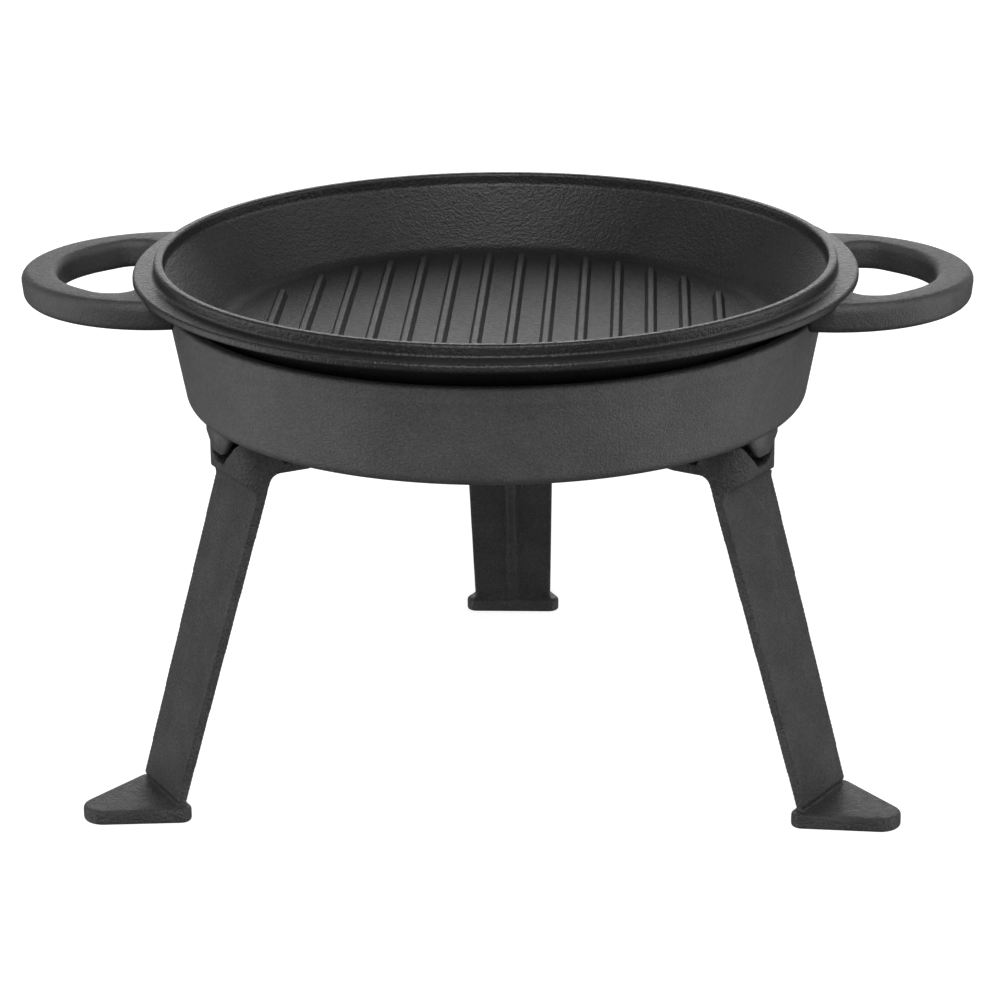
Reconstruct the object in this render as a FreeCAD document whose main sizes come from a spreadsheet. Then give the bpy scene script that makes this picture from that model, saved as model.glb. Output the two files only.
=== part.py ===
import FreeCAD, Part
import math
import os
import Sketcher
from FreeCAD import Placement, Rotation, Vector

# Cast iron table fire bowl: three bolted legs carry an open bowl for the fire, and a
# round grill pan with two loop handles rests on the bowl's rim.  Millimetres, +Z up.
# The origin is on the bowl's axis, on the ground that the three feet stand on.

SIZES = {
    # grill pan
    "pan_rim_radius": 145.0,
    "pan_rim_wall": 4.0,
    "pan_rim_rise": 5.3,
    "pan_rim_depth": 5.2,
    "ledge_width": 9.0,
    "flange_thickness": 3.7,
    "pan_wall_lean": 24.0,
    "pan_floor_depth": 31.0,
    "pan_floor_thickness": 4.5,
    "pan_wall": 4.6,
    "pan_corner": 9.0,
    "pan_edge_round": 1.4,
    # ribs on the pan's floor
    "rib_count": 14,
    "rib_width": 5.4,
    "rib_crest": 2.6,
    "rib_height": 3.0,
    "moat_width": 14.0,
    # loop handles
    "handle_inset": 3.3,
    "handle_radius": 61.3,
    "handle_draft": 1.3,
    "handle_drop": 1.5,
    "handle_round": 3.8,
    "finger_inset": 4.5,
    "finger_neck": 14.5,
    "finger_reach": 36.9,
    "finger_half_width": 42.3,
    "finger_tip_half_width": 21.0,
    "finger_corner": 8.5,
    "finger_shoulder_round": 12.0,
    "finger_tip_round": 42.0,
    # fire bowl
    "air_gap": 10.5,
    "pan_clearance": 1.7,
    "bowl_draft": 6.8,
    "bowl_depth": 43.0,
    "bowl_wall": 5.0,
    "bowl_floor": 5.0,
    "bowl_corner": 6.0,
    "bowl_inner_corner": 12.0,
    "bowl_edge_round": 1.2,
    "band_height": 7.8,
    "band_step": 0.6,
    # bosses and teeth under the bowl
    "boss_inset": 25.5,
    "boss_radius": 13.0,
    "boss_height": 8.9,
    "tooth_inset": 1.2,
    "tooth_thickness": 3.0,
    "tooth_width": 9.0,
    "tooth_flare": 6.5,
    "tooth_drop": 7.2,
    "tooth_round": 2.0,
    # leg heads
    "leg_height": 146.7,
    "pad_thickness": 4.6,
    "pad_reach": 20.0,
    "pad_corner": 17.0,
    "head_inset": 0.5,
    "head_width": 43.0,
    "head_rise": 8.4,
    "head_wall": 4.4,
    "head_wall_length": 19.5,
    "head_corner": 16.0,
    "head_skirt": 7.0,
    "notch_clearance": 3.6,
    "notch_depth_clearance": 4.4,
    "notch_round": 2.5,
    # leg plates and feet
    "leg_inset": 10.2,
    "leg_spread": 42.9,
    "leg_thickness": 4.7,
    "leg_taper": 3.3,
    "leg_blend": 5.0,
    "nose_rise": 2.6,
    "nose_undercut": 2.4,
    "web_thickness": 3.2,
    "web_clearance": 0.3,
    "web_foot_depth": 0.8,
    "gusset_width": 27.0,
    "gusset_height": 11.0,
    "foot_thickness": 6.5,
    "foot_heel": 7.0,
    "foot_length": 52.8,
    "foot_base": 49.7,
    "foot_corner": 4.5,
    "foot_tip_round": 9.0,
    "foot_edge_round": 1.2,
    # screws and washers
    "screw_diameter": 6.0,
    "screw_clearance": 0.3,
    "screw_engagement": 9.0,
    "screw_head_diameter": 11.0,
    "screw_head_height": 3.6,
    "screw_head_round": 1.2,
    "socket_width": 4.0,
    "socket_depth": 2.0,
    "tap_allowance": 1.5,
    "washer_diameter": 12.5,
    "washer_thickness": 1.2,
    "spring_washer_diameter": 10.6,
    "spring_washer_thickness": 1.5,
    "spring_washer_gap": 1.6,
    "spotface_diameter": 14.0,
    "spotface_depth": 1.4,
}

LEG_ANGLES = {"front_left": 210.0, "front_right": 330.0, "back": 90.0}

doc = FreeCAD.newDocument("fire_bowl")
sheet = doc.addObject("Spreadsheet::Sheet", "Sizes")
for row, (alias, size) in enumerate(SIZES.items(), start=1):
    sheet.set("A%d" % row, alias)
    sheet.set("B%d" % row, str(size))
    sheet.setAlias("B%d" % row, alias)
doc.recompute()


def sized(text):
    """Turns each size's name in an expression into its cell in the sheet."""
    words = []
    word = ""
    for letter in text + " ":
        if letter.isalnum() or letter == "_":
            word += letter
            continue
        words.append("Sizes." + word if word in SIZES else word)
        words.append(letter)
        word = ""
    return "".join(words).strip()


def number(text):
    """Value of an expression that is written with the sheet's names."""
    return float(sheet.evalExpression(sized(text)))


def grow(base, more):
    """Adds more terms to a bracketed expression."""
    return base[:-1] + " " + more + ")"


# Levels, from the ground up.
PAD_TOP = "(leg_height + pad_thickness)"
HEAD_TOP = grow(PAD_TOP, "+ head_rise")
BOWL_BASE = grow(PAD_TOP, "+ boss_height")
BOWL_RIM = grow(BOWL_BASE, "+ bowl_depth")
FLANGE_BASE = grow(BOWL_RIM, "+ air_gap")
LEDGE = grow(FLANGE_BASE, "+ flange_thickness")
PAN_RIM = grow(LEDGE, "+ pan_rim_rise")
PAN_FLOOR = grow(PAN_RIM, "- pan_floor_depth")

# Radii, from the pan's rim outwards to the handles.
LEDGE_RADIUS = "(pan_rim_radius + ledge_width)"
HANDLE_CENTER = "(pan_rim_radius - handle_inset)"
FINGER_START = grow(LEDGE_RADIUS, "- finger_inset")
FINGER_SHOULDER = grow(FINGER_START, "+ finger_neck")
FINGER_TIP = grow(FINGER_START, "+ finger_reach")

# Radii, from the pan's rim inwards to the legs.  The bowl's rim is fitted round the
# pan's sloping wall.
FLOOR_RADIUS = "(pan_rim_radius - pan_rim_wall - pan_wall_lean)"
WALL_SLOPE = "(pan_wall_lean / (pan_floor_depth - pan_rim_depth))"
WALL_HEAD = "(pan_rim_radius - pan_rim_wall + pan_wall)"
PAN_AT_FLANGE = grow(WALL_HEAD, "- " + WALL_SLOPE + " * (flange_thickness + pan_rim_rise - pan_rim_depth)")
PAN_AT_BOWL = grow(PAN_AT_FLANGE, "- " + WALL_SLOPE + " * air_gap")
BOWL_INNER = grow(PAN_AT_BOWL, "+ pan_clearance")
BOWL_OUTER = grow(BOWL_INNER, "+ bowl_wall")
BASE_RADIUS = grow(BOWL_OUTER, "- bowl_draft")
TOOTH_RADIUS = grow(BASE_RADIUS, "- tooth_inset")
HEAD_RADIUS = grow(TOOTH_RADIUS, "- head_inset")
WALL_START = grow(HEAD_RADIUS, "- head_wall_length")
BOSS_CIRCLE = grow(HEAD_RADIUS, "- boss_inset")
PAD_INNER = grow(BOSS_CIRCLE, "- pad_reach")
LEG_TOP = grow(HEAD_RADIUS, "- leg_inset")
LEG_FOOT = grow(LEG_TOP, "+ leg_spread")
FOOT_INNER = grow(LEG_FOOT, "- foot_heel")
FOOT_POINT = grow(FOOT_INNER, "+ foot_length")
RIB_FIELD = grow(FLOOR_RADIUS, "- moat_width")
RIB_PITCH = "(2 * " + RIB_FIELD + " / rib_count)"


def bind(thing, prop, text):
    thing.setExpression(prop, sized(text))


def origin_part(body, role):
    for feature in body.Origin.OriginFeatures:
        if feature.Role == role:
            return feature
    raise RuntimeError("no origin feature " + role)


def new_body(name, label=None):
    body = doc.addObject("PartDesign::Body", name)
    body.Label = label or name
    return body


def new_sketch(body, name, plane, offset="0"):
    """A sketch on one of the body's own origin planes, moved along its normal."""
    sketch = body.newObject("Sketcher::SketchObject", name)
    sketch.AttachmentSupport = [(origin_part(body, plane), "")]
    sketch.MapMode = "FlatFace"
    if offset != "0":
        sketch.AttachmentOffset = Placement(Vector(0, 0, number(offset)), Rotation())
        bind(sketch, "AttachmentOffset.Base.z", offset)
    return sketch


def constrain(sketch, kind, *where, text=None):
    """Adds one constraint; its size, if it has one, is bound to the sheet."""
    if text is None:
        return sketch.addConstraint(Sketcher.Constraint(kind, *where))
    index = sketch.addConstraint(Sketcher.Constraint(kind, *where, number(text)))
    bind(sketch, "Constraints[%d]" % index, text)
    return index


def pin_point(sketch, geometry, end, x_text, y_text):
    constrain(sketch, "DistanceX", -1, 1, geometry, end, text=x_text)
    constrain(sketch, "DistanceY", -1, 1, geometry, end, text=y_text)


def circle(sketch, x_text, y_text, radius_text):
    center = Vector(number(x_text), number(y_text), 0)
    ring = sketch.addGeometry(Part.Circle(center, Vector(0, 0, 1), number(radius_text)))
    constrain(sketch, "Radius", ring, text=radius_text)
    pin_point(sketch, ring, 3, x_text, y_text)


def outline(sketch, corners):
    """A closed outline through corners (x, y) or (x, y, radius), all expressions.

    Every corner is a construction point at its bound place.  A corner with a radius
    is rounded by an arc that is tangent to both of its sides.
    """
    places = [Vector(number(c[0]), number(c[1]), 0) for c in corners]
    count = len(corners)
    cuts = []
    for index, corner in enumerate(corners):
        if len(corner) == 2:
            cuts.append(0.0)
            continue
        to_last = (places[index - 1] - places[index]).normalize()
        to_next = (places[(index + 1) % count] - places[index]).normalize()
        cuts.append(number(corner[2]) / math.tan(to_last.getAngle(to_next) / 2))
    lines = []
    for index in range(count):
        start, stop = places[index], places[(index + 1) % count]
        along = (stop - start).normalize()
        first = start + along * cuts[index]
        last = stop - along * cuts[(index + 1) % count]
        lines.append(sketch.addGeometry(Part.LineSegment(first, last)))
    for index, corner in enumerate(corners):
        before, after = lines[index - 1], lines[index]
        if len(corner) == 2:
            constrain(sketch, "Coincident", before, 2, after, 1)
            pin_point(sketch, after, 1, corner[0], corner[1])
            continue
        radius = number(corner[2])
        to_last = (places[index - 1] - places[index]).normalize()
        to_next = (places[(index + 1) % count] - places[index]).normalize()
        half = to_last.getAngle(to_next) / 2
        center = places[index] + (to_last + to_next).normalize() * (radius / math.sin(half))
        touch_last = places[index] + to_last * cuts[index] - center
        touch_next = places[index] + to_next * cuts[index] - center
        turns_left = to_last.cross(to_next).z < 0
        start, stop = (touch_last, touch_next) if turns_left else (touch_next, touch_last)
        first = math.atan2(start.y, start.x)
        last = math.atan2(stop.y, stop.x)
        ring = Part.Circle(center, Vector(0, 0, 1), radius)
        arc = sketch.addGeometry(Part.ArcOfCircle(ring, first, last))
        near, far = (1, 2) if turns_left else (2, 1)
        constrain(sketch, "Tangent", before, 2, arc, near)
        constrain(sketch, "Tangent", arc, far, after, 1)
        constrain(sketch, "Radius", arc, text=corner[2])
        spot = sketch.addGeometry(Part.Point(places[index]), True)
        pin_point(sketch, spot, 1, corner[0], corner[1])
        constrain(sketch, "PointOnObject", spot, 1, before)
        constrain(sketch, "PointOnObject", spot, 1, after)


def revolve(body, name, sketch, kind="PartDesign::Revolution"):
    feature = body.newObject(kind, name)
    feature.Profile = sketch
    feature.ReferenceAxis = (sketch, ["V_Axis"])
    feature.Angle = 360.0
    doc.recompute()
    return feature


def extrude(body, name, sketch, length, kind="PartDesign::Pad", reversed_=False, midplane=False):
    feature = body.newObject(kind, name)
    feature.Profile = sketch
    feature.Reversed = reversed_
    feature.SideType = "Symmetric" if midplane else "One side"
    feature.Length = number(length)
    bind(feature, "Length", length)
    doc.recompute()
    return feature


def cut(body, name, sketch, length, reversed_=False):
    """A pocket that must take material away."""
    before = body.Shape.Volume
    feature = extrude(body, name, sketch, length, "PartDesign::Pocket", reversed_)
    if body.Shape.Volume > before - 1.0:
        raise RuntimeError(name + " cuts nothing")
    return feature


def soften(body, name, radius, wanted):
    """Rounds the edges of the body's shape for which wanted(edge) holds."""
    base = body.Tip
    names = ["Edge%d" % (i + 1) for i, edge in enumerate(base.Shape.Edges) if wanted(edge)]
    if not names:
        raise RuntimeError(name + " finds no edge")
    feature = body.newObject("PartDesign::Fillet", name)
    feature.Base = (base, names)
    feature.Radius = number(radius)
    bind(feature, "Radius", radius)
    doc.recompute()
    return feature


def around_axis(body, name, originals, count):
    pattern = body.newObject("PartDesign::PolarPattern", name)
    pattern.Originals = originals
    pattern.Axis = (origin_part(body, "Z_Axis"), [""])
    pattern.Angle = 360.0
    pattern.Occurrences = count
    body.Tip = pattern
    doc.recompute()
    return pattern


def rim_edges(shape, level):
    """Edges round the outside of the widest flat face at one height."""
    flat = [
        face for face in shape.Faces
        if face.BoundBox.ZLength < 0.01 and abs(face.BoundBox.ZMin - level) < 0.01]
    widest = max(flat, key=lambda face: face.BoundBox.DiagonalLength)
    return widest.OuterWire.Edges


def make_bowl():
    """Open bowl with a low rim band, three bosses for the legs and three teeth."""
    body = new_body("bowl")
    section = new_sketch(body, "bowl_section", "XZ_Plane")
    inner_base = grow(BASE_RADIUS, "- bowl_wall")
    outline(section, [
        ("0", BOWL_BASE),
        (BASE_RADIUS, BOWL_BASE, "bowl_corner"),
        (grow(BOWL_OUTER, "- band_step"), BOWL_RIM + " - band_height"),
        (BOWL_OUTER, BOWL_RIM + " - band_height"),
        (BOWL_OUTER, BOWL_RIM, "bowl_edge_round"),
        (BOWL_INNER, BOWL_RIM, "bowl_edge_round"),
        (inner_base, BOWL_BASE + " + bowl_floor", "bowl_inner_corner"),
        ("0", BOWL_BASE + " + bowl_floor"),
    ])
    revolve(body, "bowl_shell", section)

    boss_sketch = new_sketch(body, "boss_outline", "XY_Plane", PAD_TOP)
    circle(boss_sketch, BOSS_CIRCLE, "0", "boss_radius")
    boss = extrude(body, "boss", boss_sketch, "boss_height + bowl_floor / 2")

    # The tooth hangs from the bowl's lower edge and widens towards the wall.
    inside = grow(TOOTH_RADIUS, "- tooth_thickness")
    tooth_sketch = new_sketch(body, "tooth_outline", "YZ_Plane", inside)
    half = "tooth_width / 2"
    wide = "tooth_width / 2 + tooth_flare"
    low = BOWL_BASE + " - tooth_drop"
    top = BOWL_BASE + " + bowl_corner"
    outline(tooth_sketch, [
        ("-(" + half + ")", low, "tooth_round"),
        (half, low, "tooth_round"),
        (wide, BOWL_BASE),
        (wide, top),
        ("-(" + wide + ")", top),
        ("-(" + wide + ")", BOWL_BASE),
    ])
    tooth = extrude(body, "tooth", tooth_sketch, "tooth_thickness")

    bore_sketch = new_sketch(body, "screw_bore_outline", "XY_Plane", PAD_TOP)
    circle(bore_sketch, BOSS_CIRCLE, "0", "screw_diameter / 2 + screw_clearance")
    bore = cut(body, "screw_bore", bore_sketch, "screw_engagement + tap_allowance", True)
    around_axis(body, "leg_seats", [boss, tooth, bore], len(LEG_ANGLES))
    body.Placement = Placement(Vector(), Rotation(Vector(0, 0, 1), LEG_ANGLES["back"]))
    return body


def make_pan():
    """Grill pan: turned dish with a lid ledge, two loop handles and a ribbed floor."""
    body = new_body("pan_casting")
    thickness = FLANGE_BASE + " - " + BOWL_RIM + " + flange_thickness - handle_drop"
    plan = new_sketch(body, "handle_outline", "XY_Plane", BOWL_RIM)
    circle(plan, HANDLE_CENTER, "0", "handle_radius - handle_draft")
    circle(plan, "-" + HANDLE_CENTER, "0", "handle_radius - handle_draft")
    blank = extrude(body, "handle_blank", plan, thickness)
    bind(blank, "TaperAngle", "atan(handle_draft / (" + thickness + "))")
    doc.recompute()

    for sign, name in (("", "right"), ("-", "left")):
        hole = new_sketch(body, name + "_finger_outline", "XY_Plane", BOWL_RIM)
        near = sign + FINGER_START
        shoulder = sign + FINGER_SHOULDER
        tip = sign + FINGER_TIP
        outline(hole, [
            (near, "-finger_half_width", "finger_corner"),
            (shoulder, "-finger_half_width", "finger_shoulder_round"),
            (tip, "-finger_tip_half_width", "finger_tip_round"),
            (tip, "finger_tip_half_width", "finger_tip_round"),
            (shoulder, "finger_half_width", "finger_shoulder_round"),
            (near, "finger_half_width", "finger_corner"),
        ])
        cut(body, name + "_finger_opening", hole, thickness, True)
    soften(body, "handle_rounding", "handle_round", lambda edge: (
        edge.BoundBox.ZLength < 0.01
        and max(abs(edge.BoundBox.XMin), abs(edge.BoundBox.XMax)) > number(BOWL_OUTER)))

    # The blank's inner part is cleared to the middle of the pan's wall.
    wall_foot = PAN_RIM + " - pan_rim_depth"
    clear = new_sketch(body, "clearing_section", "XZ_Plane")
    outline(clear, [
        ("0", PAN_FLOOR),
        (FLOOR_RADIUS + " + pan_wall / 2", PAN_FLOOR),
        ("pan_rim_radius - pan_rim_wall + pan_wall / 2", wall_foot),
        ("pan_rim_radius - pan_rim_wall + pan_wall / 2", PAN_RIM),
        ("0", PAN_RIM),
    ])
    revolve(body, "clearing", clear, "PartDesign::Groove")

    section = new_sketch(body, "pan_section", "XZ_Plane")
    inner_rim = "pan_rim_radius - pan_rim_wall"
    under_floor = PAN_FLOOR + " - pan_floor_thickness"
    outer_floor = FLOOR_RADIUS + " + pan_wall - " + WALL_SLOPE + " * pan_floor_thickness"
    outline(section, [
        ("0", under_floor),
        (outer_floor, under_floor, "pan_corner"),
        (PAN_AT_FLANGE, FLANGE_BASE),
        (LEDGE_RADIUS, FLANGE_BASE, "pan_edge_round"),
        (LEDGE_RADIUS, LEDGE, "pan_edge_round"),
        ("pan_rim_radius", LEDGE, "pan_edge_round"),
        ("pan_rim_radius", PAN_RIM, "pan_edge_round"),
        (inner_rim, PAN_RIM, "pan_edge_round"),
        (inner_rim, wall_foot, "pan_edge_round * 2"),
        (FLOOR_RADIUS, PAN_FLOOR, "pan_corner"),
        ("0", PAN_FLOOR),
    ])
    revolve(body, "pan_dish", section)
    return body


def make_ribs():
    """Parallel ribs on a thin disc that lies inside the pan's floor."""
    body = new_body("rib_field")
    root = PAN_FLOOR + " - pan_floor_thickness / 2"
    disc_sketch = new_sketch(body, "rib_disc_outline", "XY_Plane", root)
    circle(disc_sketch, "0", "0", RIB_FIELD)
    extrude(body, "rib_disc", disc_sketch, "pan_floor_thickness / 4")

    rib_sketch = new_sketch(body, "rib_section", "XZ_Plane")
    center = "-" + RIB_PITCH + " * (rib_count - 1) / 2"
    outline(rib_sketch, [
        (center + " - rib_width / 2", root),
        (center + " + rib_width / 2", root),
        (center + " + rib_width / 2", PAN_FLOOR),
        (center + " + rib_crest / 2", PAN_FLOOR + " + rib_height", "rib_crest / 3"),
        (center + " - rib_crest / 2", PAN_FLOOR + " + rib_height", "rib_crest / 3"),
        (center + " - rib_width / 2", PAN_FLOOR),
    ])
    rib = extrude(body, "rib", rib_sketch, RIB_FIELD + " * 2", midplane=True)
    row = body.newObject("PartDesign::LinearPattern", "rib_row")
    row.Originals = [rib]
    row.Direction = (origin_part(body, "X_Axis"), [""])
    row.Length = number(RIB_PITCH + " * (rib_count - 1)")
    bind(row, "Length", RIB_PITCH + " * (rib_count - 1)")
    row.Occurrences = int(SIZES["rib_count"])
    bind(row, "Occurrences", "rib_count")
    body.Tip = row
    doc.recompute()
    return body


def make_grill_pan():
    """The ribs end on a circle, and are one casting with the pan."""
    casting = make_pan()
    ribs = make_ribs()
    field = doc.addObject("Part::Cylinder", "rib_field_limit")
    bind(field, "Radius", RIB_FIELD)
    bind(field, "Height", PAN_FLOOR)
    bind(field, "Placement.Base.z", PAN_FLOOR + " / 2")
    limited = doc.addObject("Part::Common", "ribs_within_floor")
    limited.Base = ribs
    limited.Tool = field
    pan = doc.addObject("Part::Fuse", "grill_pan")
    pan.Base = casting
    pan.Tool = limited
    pan.Label = "grill_pan"
    doc.recompute()
    return pan


def make_leg(name, angle):
    """One casting: pad and notched head wall, leaning plate with a web, foot."""
    body = new_body(name)
    lean = "leg_spread / (leg_height - foot_thickness)"
    side = new_sketch(body, "side_profile", "XZ_Plane")
    skirt = "leg_height - head_skirt"
    outer_at_skirt = LEG_TOP + " + " + lean + " * head_skirt"
    nose_level = "foot_thickness + nose_rise"
    outer_at_nose = LEG_FOOT + " - " + lean + " * nose_rise"
    sunk = "foot_thickness / 2"
    outline(side, [
        (LEG_FOOT + " - nose_undercut", sunk),
        (LEG_FOOT + " - nose_undercut", "foot_thickness", "nose_undercut / 4"),
        (outer_at_nose, nose_level, "nose_undercut / 2"),
        (outer_at_skirt, skirt, "leg_blend"),
        (HEAD_RADIUS, "leg_height - head_skirt / 4", "leg_blend / 2"),
        (HEAD_RADIUS, HEAD_TOP, "head_wall / 3"),
        (WALL_START, HEAD_TOP, "head_wall / 3"),
        (WALL_START, PAD_TOP),
        (PAD_INNER, PAD_TOP),
        (PAD_INNER, "leg_height"),
        (LEG_TOP + " - leg_thickness", "leg_height", "leg_blend"),
        (LEG_FOOT + " - leg_thickness + " + lean + " * foot_thickness / 2", sunk),
    ])
    extrude(body, "profile", side, "head_width", midplane=True)

    # Plan of the head: what lies outside the rounded outline is cut off.
    plan = new_sketch(body, "head_plan", "XY_Plane", skirt)
    half = "head_width / 2"
    margin = "head_corner"
    low, high = PAD_INNER + " - " + margin, HEAD_RADIUS + " + " + margin
    outline(plan, [
        (low, "-(" + half + " + " + margin + ")"),
        (high, "-(" + half + " + " + margin + ")"),
        (high, half + " + " + margin),
        (low, half + " + " + margin),
    ])
    outline(plan, [
        (PAD_INNER, "-(" + half + ")", "pad_corner"),
        (HEAD_RADIUS, "-(" + half + ")", "head_corner"),
        (HEAD_RADIUS, half, "head_corner"),
        (PAD_INNER, half, "pad_corner"),
    ])
    cut(body, "head_trim", plan, "head_skirt + pad_thickness + head_rise", True)

    # Seat for the bowl's boss, inside the head's wall.
    seat = new_sketch(body, "seat_outline", "XY_Plane", PAD_TOP)
    inner_half = "(head_width / 2 - head_wall)"
    outline(seat, [
        (PAD_INNER, "-" + inner_half),
        (HEAD_RADIUS + " - head_wall", "-" + inner_half, "head_corner - head_wall"),
        (HEAD_RADIUS + " - head_wall", inner_half, "head_corner - head_wall"),
        (PAD_INNER, inner_half),
    ])
    cut(body, "boss_seat", seat, "head_rise", True)

    # Notch for the bowl's tooth, with sides that lean like the tooth's.
    notch = new_sketch(body, "notch_outline", "YZ_Plane", HEAD_RADIUS + " - head_wall * 2")
    slant = " * tooth_flare / tooth_drop"
    notch_low = BOWL_BASE + " - tooth_drop - notch_depth_clearance"
    notch_top = HEAD_TOP + " + head_wall"
    beside = "tooth_width / 2 + notch_clearance"
    low_half = "(" + beside + " - notch_depth_clearance" + slant + ")"
    rise = "(head_rise + head_wall - boss_height + tooth_drop)"
    top_half = "(" + beside + " + " + rise + slant + ")"
    outline(notch, [
        ("-" + low_half, notch_low, "notch_round"),
        (low_half, notch_low, "notch_round"),
        (top_half, notch_top),
        ("-" + top_half, notch_top),
    ])
    cut(body, "tooth_notch", notch, "head_wall * 3", True)

    # The plate narrows from the head to the foot.
    foot_half = "(head_width / 2 - leg_taper)"
    for sign, word in (("", "left"), ("-", "right")):
        trim = new_sketch(body, word + "_trim", "YZ_Plane")
        outline(trim, [
            (sign + "(" + half + ")", skirt),
            (sign + foot_half, "foot_thickness"),
            (sign + foot_half, "0"),
            (sign + "(" + half + " + " + margin + ")", "0"),
            (sign + "(" + half + " + " + margin + ")", skirt),
        ])
        cut(body, word + "_taper", trim, FOOT_POINT, True)

    # Web along the plate's inner side, and a gusset where it reaches the foot.
    web = new_sketch(body, "web_profile", "XZ_Plane")
    inner_top = LEG_TOP + " - leg_thickness"
    inner_foot = LEG_FOOT + " - leg_thickness"
    outline(web, [
        (inner_foot + " + leg_thickness / 2", "foot_thickness / 2"),
        (inner_top + " + leg_thickness / 2", "leg_height + pad_thickness / 2"),
        (BOSS_CIRCLE + " + spotface_diameter / 2 + web_clearance", "leg_height + pad_thickness / 2"),
        (inner_foot + " - web_foot_depth", "foot_thickness"),
        (inner_foot + " - web_foot_depth", "foot_thickness / 2"),
    ])
    extrude(body, "web", web, "web_thickness", midplane=True)
    gusset = new_sketch(body, "gusset_outline", "YZ_Plane", inner_foot + " - web_foot_depth")
    outline(gusset, [
        ("-(gusset_width / 2)", "foot_thickness"),
        ("-(gusset_width / 2)", "foot_thickness / 2"),
        ("gusset_width / 2", "foot_thickness / 2"),
        ("gusset_width / 2", "foot_thickness"),
        ("0", "foot_thickness + gusset_height", "web_thickness / 2"),
    ])
    extrude(body, "gusset", gusset, "web_foot_depth + leg_thickness / 4")

    foot = new_sketch(body, "foot_outline", "XY_Plane")
    outline(foot, [
        (FOOT_INNER, "-(foot_base / 2)", "foot_corner"),
        (FOOT_POINT, "0", "foot_tip_round"),
        (FOOT_INNER, "foot_base / 2", "foot_corner"),
    ])
    extrude(body, "foot", foot, "foot_thickness")
    casting = body.Tip.Shape
    rims = rim_edges(casting, 0.0) + rim_edges(casting, number("foot_thickness"))
    soften(body, "foot_rounding", "foot_edge_round", lambda edge: (
        any(edge.isSame(rim) for rim in rims)))

    # Screw hole through the pad, with a spot face for the washers below it.
    hole = new_sketch(body, "screw_hole_outline", "XY_Plane", "leg_height")
    circle(hole, BOSS_CIRCLE, "0", "screw_diameter / 2 + screw_clearance")
    cut(body, "screw_hole", hole, "pad_thickness", True)
    spot = new_sketch(body, "spotface_outline", "XY_Plane", "leg_height")
    circle(spot, BOSS_CIRCLE, "0", "spotface_diameter / 2")
    cut(body, "spotface", spot, "spotface_depth", True)
    body.Placement = Placement(Vector(), Rotation(Vector(0, 0, 1), angle))
    return body


def at_seat(body, angle):
    """Puts a fastener that is built on its own axis under one leg's pad."""
    turn = Rotation(Vector(0, 0, 1), angle)
    body.Placement = Placement(turn.multVec(Vector(number(BOSS_CIRCLE), 0, 0)), turn)
    bind(body, "Placement.Base.x", BOSS_CIRCLE + " * cos(%g deg)" % angle)
    bind(body, "Placement.Base.y", BOSS_CIRCLE + " * sin(%g deg)" % angle)


def make_ring(name, angle, top, bore, outside, thickness):
    """A flat ring whose upper face is at the level top."""
    body = new_body(name)
    sketch = new_sketch(body, "ring_outline", "XY_Plane", top)
    circle(sketch, "0", "0", bore)
    circle(sketch, "0", "0", outside)
    extrude(body, "ring", sketch, thickness, reversed_=True)
    at_seat(body, angle)
    return body


def make_fasteners(place, angle):
    """Washer, split spring washer and pan head screw that hold one leg."""
    spot = "(leg_height + spotface_depth)"
    bore = "screw_diameter / 2 + screw_clearance"
    make_ring("washer_" + place, angle, spot, bore, "washer_diameter / 2", "washer_thickness")
    under = "(leg_height + spotface_depth - washer_thickness)"
    spring = make_ring("spring_washer_" + place, angle, under, bore,
                       "spring_washer_diameter / 2", "spring_washer_thickness")
    split = new_sketch(spring, "split_outline", "XZ_Plane")
    outline(split, [
        ("-(spring_washer_gap / 2)", under + " - spring_washer_thickness"),
        ("spring_washer_gap / 2", under + " - spring_washer_thickness"),
        ("spring_washer_gap / 2", under),
        ("-(spring_washer_gap / 2)", under),
    ])
    cut(spring, "split", split, "spring_washer_diameter")

    screw = new_body("screw_" + place)
    head_top = under[:-1] + " - spring_washer_thickness)"
    section = new_sketch(screw, "screw_section", "XZ_Plane")
    outline(section, [
        ("0", head_top + " - screw_head_height"),
        ("screw_head_diameter / 2", head_top + " - screw_head_height", "screw_head_round"),
        ("screw_head_diameter / 2", head_top),
        ("screw_diameter / 2", head_top),
        ("screw_diameter / 2", PAD_TOP + " + screw_engagement"),
        ("0", PAD_TOP + " + screw_engagement"),
    ])
    revolve(screw, "screw_turned", section)
    socket = new_sketch(screw, "socket_outline", "XY_Plane", head_top + " - screw_head_height")
    corner = "(socket_width / 2 / cos(30 deg))"
    outline(socket, [
        (corner + " * cos(%d deg)" % turn, corner + " * sin(%d deg)" % turn)
        for turn in range(0, 360, 60)])
    cut(screw, "socket", socket, "socket_depth", True)
    at_seat(screw, angle)


make_bowl()
make_grill_pan()
for place, angle in LEG_ANGLES.items():
    make_leg("leg_" + place, angle)
    make_fasteners(place, angle)
doc.recompute()

NODES = ["bowl", "grill_pan"]
for place in LEG_ANGLES:
    NODES += [kind + "_" + place for kind in ("leg", "screw", "washer", "spring_washer")]

for thing in doc.Objects:
    if "Invalid" in thing.State or "Error" in thing.State:
        raise RuntimeError("failed object: " + thing.Name)
os.makedirs("parts", exist_ok=True)
for node in NODES:
    found = doc.getObjectsByLabel(node)[0]
    shape = found.Shape
    if shape.isNull() or not shape.isValid() or len(shape.Solids) != 1:
        raise RuntimeError("bad shape: " + node)
    print(node, len(shape.Solids), round(shape.Volume / 1000.0, 2), "cm3", shape.BoundBox)
for node in NODES:
    doc.getObjectsByLabel(node)[0].Shape.exportStep("parts/" + node + ".step")
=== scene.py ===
"""Looks of the cast iron table fire bowl: bowl on three bolted legs, grill pan on top."""

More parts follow.
